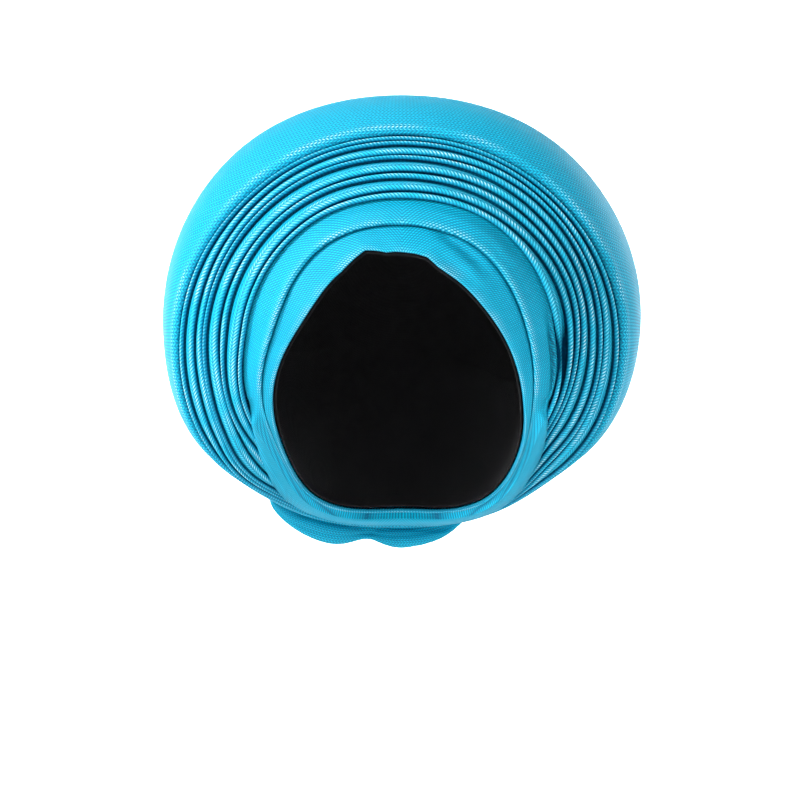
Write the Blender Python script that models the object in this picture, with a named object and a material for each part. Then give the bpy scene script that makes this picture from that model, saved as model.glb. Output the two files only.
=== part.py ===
"""A tied gele head tie: a wide fan of pleats round the face, closed by a hood behind and worn over a thin cap.

Run it with blender --background --python part.py, or from Blender's text editor. Lengths are metres, +Z is up.
The wearer faces -Y, and left and right are as seen from in front of the wearer. The origin is the point inside
the cap that rests on the crown of the head.

The cloth lies in rings round the face, so the whole tie is drawn in half-planes that all hold one line, the face
axis, which runs along Y. An angle of 0 is straight up from that axis, 90 is to the right and 180 is down to the
nape. In each half-plane one curve, the envelope, runs from the face edge over the brow, across the pleats, over
the rim of the fan and down to the back. A point of a piece has a distance u along the envelope and a height n
above it, so pieces that don't overlap in u and n don't overlap in space.
"""

import math

import bmesh
import bpy
import numpy as np

MM = 0.001

# The head that the tie is made for
HEAD_WIDTH = 152 * MM
HEAD_DEPTH = 194 * MM
CROWN_HEIGHT = 80 * MM  # from the face axis up to the crown

# The fan and the hood behind it
FAN_RADIUS = 131 * MM  # from the face axis to the rim, straight up
FAN_DEPTH = 80 * MM  # from the brow back to the rim, at the top
HOOD_CLEARANCE = 15 * MM  # from the back of the head to the back of the hood
HOOD_TAUTNESS = 1.5  # 1 is a straight cone behind the rim, 2 is a round dome

# Cloth
CLOTH = 2.0 * MM  # the brow wrap and the outer wrap
PLEAT = 2.2 * MM  # one pleat, folded double
PLEAT_GATHERED = 1.4 * MM  # the same where it is drawn in at the nape
LINER = 1.2 * MM
GAP = 0.6 * MM  # left between two layers
TUCK = 6.0 * MM  # how far a layer runs on under the one that covers it
TUCK_GATHERED = 2.0 * MM
RIDGE_RISE = 0.5 * MM  # how far a pleat swells above its folded edge
RIDGE_AT = 0.35  # where that swell is highest, as a share of the strip that shows
BROW_STEP = 1.4 * MM  # the fold across the brow wrap
LINER_SHOWS = 1.0 * MM  # how far the liner reaches past the brow wrap
LINER_EASE = 4.0 * MM  # room at the back of the head

# Angles, in degrees, of the places round the face where the tables below give a value
PLACES = {
    "nape_left": -180,
    "knot_left": -150,
    "jaw_left": -135,
    "ear_left": -120,
    "temple_left": -90,
    "brow_left": -45,
    "top": 0,
    "brow_right": 45,
    "temple_right": 90,
    "ear_right": 120,
    "jaw_right": 135,
    "knot_right": 150,
    "nape_right": 180,
}

# Radius of the face edge, as shares of half the head's width
FACE_EDGE = (1.37, 1.41, 1.25, 1.08, 0.73, 0.565, 0.52, 0.495, 0.68, 1.01, 1.245, 1.41, 1.37)
# How far back the face edge lies, as shares of half the head's depth
FACE_BACK = (0.68, 0.31, -0.08, -0.41, -0.73, -0.875, -0.905, -0.875, -0.73, -0.41, -0.08, 0.31, 0.68)
# Radius of the fan's rim, as shares of FAN_RADIUS
RIM_EDGE = (0.87, 0.92, 0.95, 1.005, 1.023, 1.037, 1.0, 1.035, 1.021, 0.971, 0.915, 0.90, 0.87)
# How far behind the face edge three lines lie, as shares of FAN_DEPTH
FIRST_FOLD_BACK = (0.05, 0.10, 0.125, 0.125, 0.14, 0.125, 0.11, 0.125, 0.14, 0.125, 0.125, 0.10, 0.05)
LAST_FOLD_BACK = (0.24, 0.325, 0.375, 0.45, 0.46, 0.475, 0.475, 0.475, 0.46, 0.45, 0.375, 0.325, 0.24)
RIM_BACK = (0.36, 0.45, 0.55, 0.70, 0.91, 0.99, 1.0, 0.99, 0.91, 0.70, 0.55, 0.45, 0.36)
# How evenly the folds are spread from the first to the last in depth: 1 is evenly, 0 is as in radius
EVEN_DEPTH = (1, 1, 1, 0.6, 0.25, 0, 0, 0, 0.25, 0.6, 1, 1, 1)

# Where each folded edge lies between the face edge (0) and the rim (1). The first row is the fold across the
# brow wrap, the next eight are the pleats from the brow outwards, and the last is the outer wrap.
FOLDS = {
    "brow_fold": (0.03, 0.03, 0.05, 0.11, 0.17, 0.185, 0.16, 0.21, 0.185, 0.12, 0.05, 0.03, 0.03),
    "pleat_1": (0.15, 0.15, 0.16, 0.28, 0.365, 0.34, 0.32, 0.375, 0.375, 0.31, 0.14, 0.15, 0.15),
    "pleat_2": (0.25, 0.25, 0.26, 0.34, 0.41, 0.38, 0.37, 0.425, 0.465, 0.37, 0.22, 0.25, 0.25),
    "pleat_3": (0.35, 0.35, 0.38, 0.45, 0.51, 0.465, 0.445, 0.485, 0.52, 0.42, 0.30, 0.35, 0.35),
    "pleat_4": (0.45, 0.45, 0.56, 0.51, 0.565, 0.50, 0.49, 0.535, 0.56, 0.47, 0.38, 0.45, 0.45),
    "pleat_5": (0.55, 0.55, 0.76, 0.655, 0.65, 0.58, 0.565, 0.59, 0.62, 0.575, 0.49, 0.55, 0.55),
    "pleat_6": (0.65, 0.65, 0.82, 0.685, 0.68, 0.61, 0.595, 0.64, 0.68, 0.675, 0.63, 0.65, 0.65),
    "pleat_7": (0.75, 0.75, 0.91, 0.78, 0.74, 0.66, 0.655, 0.675, 0.715, 0.72, 0.72, 0.75, 0.75),
    "pleat_8": (0.85, 0.85, 0.95, 0.87, 0.815, 0.70, 0.685, 0.71, 0.79, 0.86, 0.90, 0.85, 0.85),
    "outer_wrap": (0.93, 0.93, 0.975, 0.92, 0.855, 0.725, 0.72, 0.735, 0.83, 0.90, 0.95, 0.93, 0.93),
}
PLEATS = [name for name in FOLDS if name.startswith("pleat")]

# Where the brow wrap's outer edge lies, counted in pleats: it is tucked under pleat 1 across the top (below 1)
# and lies over the pleats beside the jaw
WRAP_EDGE_PLEAT = (5, 5, 4.2, 1.4, 0, 0, 0, 0, 0, 1.4, 4.6, 5, 5)

# The corners in the face edge above the brow: angle, reach to the left and right in degrees, and rise
FACE_CORNERS = (
    {"at": -26, "left": 22, "right": 14, "rise": 4.2 * MM},
    {"at": 20, "left": 16, "right": 11, "rise": 1.4 * MM},
)

# The knot is a bundle that lies along the nape, just behind the rim
KNOT = {
    "left_end": 216,
    "right_end": 160,
    "height": 15 * MM,
    "width": 20 * MM,
    "behind_rim": 7 * MM,
    "seat": -0.35 * MM,  # it sinks this far into the curve, where the wrap's flat facets lie lower
    "waist": 0.3,
}

# Base colour and roughness of each piece
TURQUOISE = ((0.03, 0.45, 0.65), 0.5)
LOOKS = {name: TURQUOISE for name in ("brow_wrap", *PLEATS, "outer_wrap", "nape_knot")}
LOOKS["liner_cap"] = ((0.012, 0.012, 0.013), 0.8)

# Mesh steps
TOP_STEPS = 22  # from one ear over the top to the other
NAPE_STEPS = 18  # from one ear round the nape to the other
EAR_ANGLE = 110
LINER_STEPS = 8  # from the face edge to the back of the head
KNOT_STEPS = 14
KNOT_SIDES = 10
ENVELOPE_SAMPLES = 400


def smooth_through(xs, ys, rounded=False):
    """A function through the points (xs, ys) that bends smoothly.

    It never overshoots the points, unless rounded: then it swings through them as a round curve does.
    """
    xs, ys = np.asarray(xs, float), np.asarray(ys, float)
    steps = np.diff(xs)
    slopes = np.diff(ys) / steps
    tangents = np.zeros_like(ys)
    if rounded:
        tangents[1:-1] = (steps[1:] * slopes[:-1] + steps[:-1] * slopes[1:]) / (steps[1:] + steps[:-1])
    else:
        same_way = slopes[:-1] * slopes[1:] > 0
        before, after = 2 * steps[1:] + steps[:-1], steps[1:] + 2 * steps[:-1]
        with np.errstate(divide="ignore", invalid="ignore"):
            mean = (before + after) / (before / slopes[:-1] + after / slopes[1:])
        tangents[1:-1] = np.where(same_way, mean, 0)
    tangents[0], tangents[-1] = slopes[0], slopes[-1]

    def value(x):
        x = np.clip(x, xs[0], xs[-1])
        i = np.clip(np.searchsorted(xs, x, side="right") - 1, 0, len(steps) - 1)
        t = (x - xs[i]) / steps[i]
        start = ys[i] * (1 + 2 * t) + tangents[i] * steps[i] * t
        end = ys[i + 1] * (3 - 2 * t) - tangents[i + 1] * steps[i] * (1 - t)
        return start * (1 - t) ** 2 + end * t**2

    return value


def round_the_face(row, rounded=True):
    """A function of the angle through a table row's values, level at the nape, where both ends meet."""
    angles = list(PLACES.values())
    return smooth_through([angles[0] - 30, *angles, angles[-1] + 30], [row[1], *row, row[-2]], rounded)


def face_corner_rise(angle):
    """How far the face edge's corners lift it at this angle."""
    rise = 0.0
    for corner in FACE_CORNERS:
        away = angle - corner["at"]
        reach = corner["left"] if away < 0 else corner["right"]
        rise += corner["rise"] * max(0.0, 1 - abs(away) / reach)
    return rise


ROWS = {
    "face_edge": round_the_face(FACE_EDGE),
    "face_back": round_the_face(FACE_BACK),
    "rim_edge": round_the_face(RIM_EDGE),
    "first_back": round_the_face(FIRST_FOLD_BACK),
    "last_back": round_the_face(LAST_FOLD_BACK),
    "rim_back": round_the_face(RIM_BACK),
    "even_depth": round_the_face(EVEN_DEPTH, rounded=False),
    "wrap_edge_pleat": round_the_face(WRAP_EDGE_PLEAT, rounded=False),
}
FOLD_ROWS = {name: round_the_face(row) for name, row in FOLDS.items()}


def gathered(angle):
    """0 over the top of the face, 1 where the cloth is drawn in behind the jaw and at the nape."""
    t = min(max((abs(angle) - 100) / 45, 0.0), 1.0)
    return t * t * (3 - 2 * t)


def between(start, end, share):
    return start + (end - start) * share


class Section:
    """The envelope in the half-plane at one angle, and the places of the folds along it."""

    def __init__(self, angle):
        self.angle = angle
        face_radius = HEAD_WIDTH / 2 * float(ROWS["face_edge"](angle))
        face_back = HEAD_DEPTH / 2 * float(ROWS["face_back"](angle))
        rim_radius = FAN_RADIUS * float(ROWS["rim_edge"](angle))
        backs = {key: face_back + FAN_DEPTH * float(ROWS[key](angle)) for key in ("first_back", "last_back", "rim_back")}
        shares = {name: float(row(angle)) for name, row in FOLD_ROWS.items()}
        first, last = shares["pleat_1"], shares["outer_wrap"]
        knots = [(face_radius + face_corner_rise(angle), face_back)]
        for order, (name, share) in enumerate(shares.items()):
            radius = between(face_radius, rim_radius, share)
            if name == "brow_fold":
                knots.append((radius, between(face_back, backs["first_back"], 0.35)))
                continue
            even = (order - 1) / len(PLEATS)
            depth_share = between((share - first) / (last - first), even, float(ROWS["even_depth"](angle)))
            knots.append((radius, between(backs["first_back"], backs["last_back"], depth_share)))
        knots += self.rim_knots(knots[-1], (rim_radius, backs["rim_back"]))
        self.lay_envelope(np.array(knots))
        self.thickness = between(PLEAT, PLEAT_GATHERED, gathered(angle))
        self.tuck = between(TUCK, TUCK_GATHERED, gathered(angle))

    @staticmethod
    def rim_knots(last_fold, rim):
        """From the last fold over the rim of the fan and down the hood to the back of the head."""
        across, back = rim[0] - last_fold[0], rim[1] - last_fold[1]
        knots = [
            (last_fold[0] + 0.22 * across, last_fold[1] + 0.06 * back),
            (last_fold[0] + 0.80 * across, last_fold[1] + 0.52 * back),
            rim,
        ]
        for share in (0.25, 0.5, 0.75, 1.0):
            turn = share * math.pi / 2
            power = 2 / HOOD_TAUTNESS
            radius = rim[0] * max(math.cos(turn), 0.0) ** power
            knots.append((radius, between(rim[1], HEAD_DEPTH / 2 + HOOD_CLEARANCE, math.sin(turn) ** power)))
        return knots

    def lay_envelope(self, knots):
        chord = np.concatenate([[0], np.cumsum(np.hypot(*np.diff(knots, axis=0).T))])
        dense = np.linspace(0, chord[-1], ENVELOPE_SAMPLES)
        points = np.stack([smooth_through(chord, knots[:, i])(dense) for i in (0, 1)], axis=1)
        points[-1, 0] = 0.0
        along = np.concatenate([[0], np.cumsum(np.hypot(*np.diff(points, axis=0).T))])
        tangents = np.gradient(points, along, axis=0)
        tangents[-1] = (-1.0, 0.0)
        self.points, self.along = points, along
        self.normals = np.stack([tangents[:, 1], -tangents[:, 0]], axis=1)
        self.normals /= np.hypot(*self.normals.T)[:, None]
        at_knots = np.interp(chord, dense, along)
        names = ["face_edge", *FOLDS, "crest", "panel", "rim"]
        self.u = dict(zip(names, at_knots))
        self.u["back"] = along[-1]
        self.pleat_u = [self.u[name] for name in (*PLEATS, "outer_wrap")]

    def at(self, u, n):
        """The point (radius, Y) at distance u along the envelope and height n above it."""
        point = [np.interp(u, self.along, self.points[:, i]) for i in (0, 1)]
        normal = [np.interp(u, self.along, self.normals[:, i]) for i in (0, 1)]
        if u < 0:
            point = [p + t * u for p, t in zip(point, (-normal[1], normal[0]))]
        return point[0] + normal[0] * n, point[1] + normal[1] * n

    def nose(self, k):
        """How far the rounded folded edge of pleat k reaches."""
        show = self.pleat_u[k + 1] - self.pleat_u[k]
        return min(0.5 * self.thickness, 0.3 * show)

    def ridge(self, k):
        return between(self.pleat_u[k], self.pleat_u[k + 1], RIDGE_AT)

    def tail_stops(self, k):
        """Where a layer that goes under pleat k, or under the outer wrap, bends and ends."""
        start = self.pleat_u[k]
        if k == len(PLEATS):
            return start, start + 0.5 * self.tuck, start + self.tuck
        return start, start + self.nose(k), self.ridge(k)

    def underside(self, k, u):
        """Height of the back of pleat k at u. Past the next folded edge it runs on under that pleat."""
        if k == len(PLEATS):
            return -CLOTH
        start, end = self.pleat_u[k], self.pleat_u[k + 1]
        if u >= end:
            return self.underside(k + 1, u) - GAP - self.thickness
        heights = (-self.thickness, -self.thickness, RIDGE_RISE - self.thickness, self.underside(k, end))
        return float(np.interp(u, (start, start + self.nose(k), self.ridge(k), end), heights))


def in_space(section, radius, back):
    angle = math.radians(section.angle)
    return (radius * math.sin(angle), back, radius * math.cos(angle) - CROWN_HEIGHT)


def ring_mesh(name, sections, outline):
    """A closed ring whose cross-section at each angle is outline(section), a list of (u, n)."""
    mesh = bmesh.new()
    rings = []
    for section in sections:
        rings.append([mesh.verts.new(in_space(section, *section.at(u, n))) for u, n in outline(section)])
    for ring, following in zip(rings, rings[1:] + rings[:1]):
        for i in range(len(ring)):
            j = (i + 1) % len(ring)
            mesh.faces.new((ring[i], ring[j], following[j], following[i]))
    return finished(name, mesh)


def bowl_mesh(name, sections, outer, inner):
    """A bowl from two profiles: each gives (radius, Y) from the open edge to the back, where the radius is 0."""
    mesh = bmesh.new()
    columns = []
    poles = {}
    for section in sections:
        loop = [*reversed(outer(section)), *inner(section)]
        for end, key in ((0, "outer"), (-1, "inner")):
            poles.setdefault(key, mesh.verts.new(in_space(section, *loop[end])))
        columns.append([mesh.verts.new(in_space(section, *point)) for point in loop[1:-1]])
    for column, following in zip(columns, columns[1:] + columns[:1]):
        for i in range(len(column) - 1):
            mesh.faces.new((column[i], column[i + 1], following[i + 1], following[i]))
        mesh.faces.new((poles["outer"], column[0], following[0]))
        mesh.faces.new((poles["inner"], following[-1], column[-1]))
    for vert in [v for v in mesh.verts if not v.link_faces]:
        mesh.verts.remove(vert)
    return finished(name, mesh)


def cloth_material(slot, colour, roughness):
    material = bpy.data.materials.new(slot)
    material.use_nodes = True
    shader = material.node_tree.nodes["Principled BSDF"]
    shader.inputs["Base Color"].default_value = (*colour, 1)
    shader.inputs["Roughness"].default_value = roughness
    shader.inputs["Metallic"].default_value = 0
    return material


def finished(name, mesh):
    bmesh.ops.recalc_face_normals(mesh, faces=mesh.faces)
    data = bpy.data.meshes.new(name)
    mesh.to_mesh(data)
    mesh.free()
    data.shade_smooth()
    body = bpy.data.objects.new(name, data)
    data.materials.append(cloth_material(name, *LOOKS[name]))
    bpy.context.scene.collection.objects.link(body)
    return body


def pleat_outline(k):
    """Cross-section of pleat k: a rounded folded edge, a swell that shows, and a tail under the next layer."""

    def outline(section):
        start, thick, nose = section.pleat_u[k], section.thickness, section.nose(k)
        stops = [section.ridge(k), *section.tail_stops(k + 1)]
        front = [(u, section.underside(k, u) + thick) for u in stops]
        behind = [(u, section.underside(k, u)) for u in reversed(stops)]
        folded = [(start + nose, -thick), (start, -0.6 * thick), (start + 0.3 * nose, -0.15 * thick)]
        return [*front, *behind, *folded]

    return outline


def step_angles():
    top = np.linspace(-EAR_ANGLE, EAR_ANGLE, TOP_STEPS + 1)[:-1]
    nape = np.linspace(EAR_ANGLE, 360 - EAR_ANGLE, NAPE_STEPS + 1)[:-1]
    return [a if a <= 180 else a - 360 for a in (*top, *nape)]


def outer_wrap_profiles():
    """The outer wrap: a folded edge over the last pleat, the wide panel, the rim and the hood."""

    def stops(section):
        panel = [between(section.u["crest"], section.u["rim"], share) for share in (0.0, 0.33, 0.67, 1.0)]
        hood = [between(section.u["rim"], section.u["back"], share) for share in (0.16, 0.34, 0.54, 0.76, 1.0)]
        return [*panel, *hood]

    def outer(section):
        start = section.u["outer_wrap"]
        nose = [(start, -0.5 * CLOTH), (start + 0.4 * CLOTH, -0.05 * CLOTH)]
        return [section.at(u, n) for u, n in nose] + [section.at(u, 0.0) for u in stops(section)]

    def inner(section):
        start = section.u["outer_wrap"] + 0.4 * CLOTH
        return [section.at(u, -CLOTH) for u in (start, *stops(section))]

    return outer, inner


def brow_outline(section):
    """The brow wrap: the face edge, a fold across the brow, and an edge tucked under pleat 1 or over the pleats."""
    count = float(ROWS["wrap_edge_pleat"](section.angle))
    first = section.pleat_u[0]
    fold = section.u["brow_fold"]
    step = BROW_STEP * (1 - min(count, 1.0))
    under = section.underside(0, first) - GAP
    over = RIDGE_RISE + GAP + CLOTH
    rounded = 0.5 * CLOTH
    front = [(0.3 * rounded, 0.0), (0.5 * fold, -0.3 * step), (fold - rounded, -step)]
    front += [(fold, -0.3 * step), (fold + rounded, 0.0)]
    if count < 0.5:
        tucked = [first + (u - first) * (1 - 2 * count) for u in section.tail_stops(0)]
        front += [(u, section.underside(0, u) - GAP) for u in tucked]
    elif count < 1.4:
        raised = min(max((count - 0.75) / 0.25, 0.0), 1.0)
        near, height = first - 0.6 * MM, between(under, over, raised)
        front += [(near - share * 2.0 * MM, height) for share in (1.0, 0.5, 0.0)]
    else:
        edge = float(np.interp(count - 1, range(len(section.pleat_u)), section.pleat_u))
        front += [(between(first, edge, share), over) for share in (-0.3, 0.3, 1.0)]
    behind = [(u, n - CLOTH) for u, n in reversed(front)]
    return [(0.0, -0.5 * CLOTH), *front, *behind]


def liner_profile(section):
    """The cap's inside: an ellipse from the face edge round the head to the back."""
    start = section.at(-LINER_SHOWS, -(CLOTH + GAP + LINER))
    turn = math.radians(section.angle)
    head = math.hypot(HEAD_WIDTH / 2 * math.sin(turn), CROWN_HEIGHT * math.cos(turn))
    deep = HEAD_DEPTH / 2 + LINER_EASE
    side = max(head, start[0] / math.sqrt(1 - (start[1] / deep) ** 2))
    front_deep = deep if start[1] >= 0 else -start[1] / math.sqrt(1 - (start[0] / side) ** 2)
    first = math.asin(start[1] / (deep if start[1] >= 0 else front_deep))
    points = []
    for step in range(LINER_STEPS + 1):
        slant = between(first, math.pi / 2, step / LINER_STEPS)
        back = math.sin(slant) * (deep if slant >= 0 else front_deep)
        points.append((side * math.cos(slant) if step < LINER_STEPS else 0.0, back))
    return np.array(points)


def liner_outside(section):
    """The same as liner_profile, one liner's thickness further out."""
    inside = liner_profile(section)
    tangents = np.gradient(inside, axis=0)
    tangents[-1] = (-1.0, 0.0)
    normals = np.stack([tangents[:, 1], -tangents[:, 0]], axis=1)
    normals /= np.hypot(*normals.T)[:, None]
    return [tuple(point) for point in inside + LINER * normals]


def nape_knot():
    """A bundle drawn in at its waist, with rounded ends."""
    mesh = bmesh.new()
    rings = []
    for step in range(KNOT_STEPS + 1):
        share = (step + 0.5) / (KNOT_STEPS + 1)
        angle = between(KNOT["right_end"], KNOT["left_end"], share)
        section = Section(angle if angle <= 180 else angle - 360)
        rounded = math.sqrt(1 - (2 * share - 1) ** 2)
        size = rounded * (1 - KNOT["waist"] * math.exp(-(((share - 0.5) / 0.1) ** 2)))
        middle = section.u["rim"] + KNOT["behind_rim"]
        ring = []
        for side in range(KNOT_SIDES):
            turn = side / KNOT_SIDES * math.tau
            u = middle + 0.5 * KNOT["width"] * size * math.cos(turn)
            n = KNOT["seat"] + 0.5 * KNOT["height"] * size * (1 + math.sin(turn))
            ring.append(mesh.verts.new(in_space(section, *section.at(u, n))))
        rings.append(ring)
    for ring, following in zip(rings, rings[1:]):
        for i in range(KNOT_SIDES):
            j = (i + 1) % KNOT_SIDES
            mesh.faces.new((ring[i], ring[j], following[j], following[i]))
    mesh.faces.new(rings[0])
    mesh.faces.new(rings[-1])
    return finished("nape_knot", mesh)


def main():
    for obj in list(bpy.data.objects):
        bpy.data.objects.remove(obj)
    sections = [Section(angle) for angle in step_angles()]
    bowl_mesh("liner_cap", sections, liner_outside, lambda section: [tuple(p) for p in liner_profile(section)])
    ring_mesh("brow_wrap", sections, brow_outline)
    for k, name in enumerate(PLEATS):
        ring_mesh(name, sections, pleat_outline(k))
    bowl_mesh("outer_wrap", sections, *outer_wrap_profiles())
    nape_knot()


main()
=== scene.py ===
"""The tied gele head tie as it looks: turquoise braided cloth in a fan of pleats over a thin black cap.

The cloth follows the same envelope as the solids in the frame, drawn again with finer steps, rounder folds,
creases, gathers and a weave. An angle of 0 is straight up from the face axis, 90 is to the right and 180 is
down to the nape. In the half-plane at each angle a point has a distance u along the envelope, from the face
edge over the fan's rim to the back of the hood, and a height n above it.
"""

import math

import bpy
import numpy as np
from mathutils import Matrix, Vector


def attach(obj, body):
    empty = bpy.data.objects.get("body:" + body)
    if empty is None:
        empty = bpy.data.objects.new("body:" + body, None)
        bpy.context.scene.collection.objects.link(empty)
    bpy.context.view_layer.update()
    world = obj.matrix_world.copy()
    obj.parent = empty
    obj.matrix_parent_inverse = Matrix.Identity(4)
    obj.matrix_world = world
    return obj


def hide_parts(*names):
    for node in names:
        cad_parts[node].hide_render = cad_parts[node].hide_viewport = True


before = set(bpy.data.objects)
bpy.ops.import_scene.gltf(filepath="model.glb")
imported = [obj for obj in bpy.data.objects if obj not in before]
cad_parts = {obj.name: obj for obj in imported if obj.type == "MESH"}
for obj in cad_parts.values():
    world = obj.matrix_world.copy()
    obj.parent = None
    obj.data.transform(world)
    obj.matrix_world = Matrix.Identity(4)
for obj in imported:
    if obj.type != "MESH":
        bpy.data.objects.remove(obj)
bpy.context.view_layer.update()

MM = 0.001

# The head that the tie is made for
HEAD_WIDTH = 152 * MM
HEAD_DEPTH = 194 * MM
CROWN_HEIGHT = 80 * MM

# The fan and the hood behind it
FAN_RADIUS = 131 * MM
FAN_DEPTH = 80 * MM
HOOD_CLEARANCE = 15 * MM
HOOD_TAUTNESS = 1.5

# Cloth
CLOTH = 2.0 * MM
PLEAT = 2.2 * MM
PLEAT_GATHERED = 1.4 * MM
LINER = 1.2 * MM
GAP = 0.6 * MM
TUCK = 6.0 * MM
TUCK_GATHERED = 2.0 * MM
GATHERED_FROM = 100  # the angle, on both sides, from which the cloth is drawn in behind the jaw
GATHERED_OVER = 45  # over how many degrees it is drawn in

# The pleats. Shares are of the strip that shows, from a pleat's folded edge to the next one
RIDGE_RISE = 1.1 * MM  # how far a pleat swells above its folded edge
RIDGE_AT = 0.3  # where that swell is highest, as a share
RIDGE_WIDTH = 0.2  # how wide the painted highlight on it is, as a share
FALL_POWER = 1.5  # how late the strip falls away behind it
GROOVE_FROM = 0.85  # from where on the strip painted shade darkens it before the next pleat, as a share
UNEVEN = 0.25 * MM  # the pleats aren't quite even: height of their slow waves
UNEVEN_WAVES = ((3, 1.3), (5, 2.1), (8, 0.7), (13, 2.9))  # how many waves go round the face, and their shift
UNEVEN_FADE = 0.4  # how much lower each of these is than the one before
UNEVEN_SUM = 2.4  # their greatest height together

# The outer wrap's folded edge
WRAP_ROLL = 4.2 * MM  # from the edge to the ridge behind it
WRAP_EDGE_TUCK = 0.8 * CLOTH  # how far the edge lies below the panel
RIM_RIDGE = 0.7 * MM  # how far that ridge stands above the panel
RIM_DIP = 1.3  # how far the cloth falls behind it, where 1 is down to the panel
RIM_DIP_OVER = 5 * MM
RIM_LEVEL_OVER = 20 * MM  # over how far before the rim the cloth comes back to the panel

# The brow wrap
BROW_STEP = 2.2 * MM  # how far the cloth steps up at the brow fold
LIP_RISE = 0.9 * MM  # how far the fold swells above its edge
GROOVE = 1.0 * MM  # how much deeper the cloth dips just under that edge
GROOVE_WIDTH = 0.08  # how wide that dip is, as a share of the part below the fold
WRAP_TUCK = 0.4  # how far the brow wrap reaches under pleat 1, as a share of the pleat

# The cap
LINER_SHOWS = 1.2 * MM
LINER_EASE = 4.0 * MM
LINER_HEM = 0.4 * LINER
LINER_OPENING = 0.002  # radians that the cap stays open at the middle of its back, before it is closed

# The pocket that stands open at the right temple: its middle and reach in degrees, how far the brow wrap dips
# and where, as shares of the part above the fold, how far pleat 1 is pressed in, and how much painted shade
# darkens both
POCKET = {
    "at": 100,
    "reach": 10,
    "depth": 4.0 * MM,
    "deepest": 0.93,
    "width": 0.1,
    "pressed": 1.5 * MM,
    "wrap_shade": 0.6,
    "pleat_shade": 1.8,
}

# Angles, in degrees, of the places round the face where the tables below give a value
PLACES = (-180, -150, -135, -120, -90, -45, 0, 45, 90, 120, 135, 150, 180)

# Shares of half the head's width, half its depth, FAN_RADIUS and FAN_DEPTH, as in the solids' source
FACE_EDGE = (1.37, 1.41, 1.25, 1.08, 0.73, 0.565, 0.52, 0.495, 0.68, 1.01, 1.245, 1.41, 1.37)
FACE_BACK = (0.68, 0.31, -0.08, -0.41, -0.73, -0.875, -0.905, -0.875, -0.73, -0.41, -0.08, 0.31, 0.68)
RIM_EDGE = (0.87, 0.92, 0.95, 1.005, 1.023, 1.037, 1.0, 1.035, 1.021, 0.971, 0.915, 0.90, 0.87)
FIRST_FOLD_BACK = (0.05, 0.10, 0.125, 0.125, 0.14, 0.125, 0.11, 0.125, 0.14, 0.125, 0.125, 0.10, 0.05)
LAST_FOLD_BACK = (0.24, 0.325, 0.375, 0.45, 0.46, 0.475, 0.475, 0.475, 0.46, 0.45, 0.375, 0.325, 0.24)
RIM_BACK = (0.36, 0.45, 0.55, 0.70, 0.91, 0.99, 1.0, 0.99, 0.91, 0.70, 0.55, 0.45, 0.36)
EVEN_DEPTH = (1, 1, 1, 0.6, 0.25, 0, 0, 0, 0.25, 0.6, 1, 1, 1)

# Where the brow fold lies between the face edge and pleat 1, and where the crest and the panel lie between the
# last fold and the rim, as shares of the way out and back
BROW_FOLD_BACK = 0.35
CREST_AT = (0.22, 0.06)
PANEL_AT = (0.80, 0.52)

# Where each folded edge lies between the face edge (0) and the rim (1)
FOLDS = {
    "brow_fold": (0.03, 0.03, 0.05, 0.11, 0.17, 0.185, 0.16, 0.21, 0.185, 0.12, 0.05, 0.03, 0.03),
    "pleat_1": (0.15, 0.15, 0.16, 0.28, 0.365, 0.34, 0.32, 0.375, 0.375, 0.31, 0.14, 0.15, 0.15),
    "pleat_2": (0.25, 0.25, 0.26, 0.34, 0.41, 0.38, 0.37, 0.425, 0.465, 0.37, 0.22, 0.25, 0.25),
    "pleat_3": (0.35, 0.35, 0.38, 0.45, 0.51, 0.465, 0.445, 0.485, 0.52, 0.42, 0.30, 0.35, 0.35),
    "pleat_4": (0.45, 0.45, 0.56, 0.51, 0.565, 0.50, 0.49, 0.535, 0.56, 0.47, 0.38, 0.45, 0.45),
    "pleat_5": (0.55, 0.55, 0.76, 0.655, 0.65, 0.58, 0.565, 0.59, 0.62, 0.575, 0.49, 0.55, 0.55),
    "pleat_6": (0.65, 0.65, 0.82, 0.685, 0.68, 0.61, 0.595, 0.64, 0.68, 0.675, 0.63, 0.65, 0.65),
    "pleat_7": (0.75, 0.75, 0.91, 0.78, 0.74, 0.66, 0.655, 0.675, 0.715, 0.72, 0.72, 0.75, 0.75),
    "pleat_8": (0.85, 0.85, 0.95, 0.87, 0.815, 0.70, 0.685, 0.71, 0.79, 0.86, 0.90, 0.85, 0.85),
    "outer_wrap": (0.93, 0.93, 0.975, 0.92, 0.855, 0.725, 0.72, 0.735, 0.83, 0.90, 0.95, 0.93, 0.93),
}
PLEATS = [name for name in FOLDS if name.startswith("pleat")]

# Where the brow wrap's outer edge lies, counted in pleats
WRAP_EDGE_PLEAT = (5, 5, 3.2, 0.9, 0, 0, 0, 0, 0, 0.9, 4.2, 5, 5)
CROSSING = (0.65, 1.25)  # from where to where it rises past pleat 1
CROSSING_RUN = 2 * MM  # how wide its last stretch is just before pleat 1

# The corners in the face edge above the brow: angle, reach to the left and right in degrees, and rise
FACE_CORNERS = (
    {"at": -26, "left": 22, "right": 14, "rise": 4.2 * MM},
    {"at": 20, "left": 16, "right": 11, "rise": 1.4 * MM},
)

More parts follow.
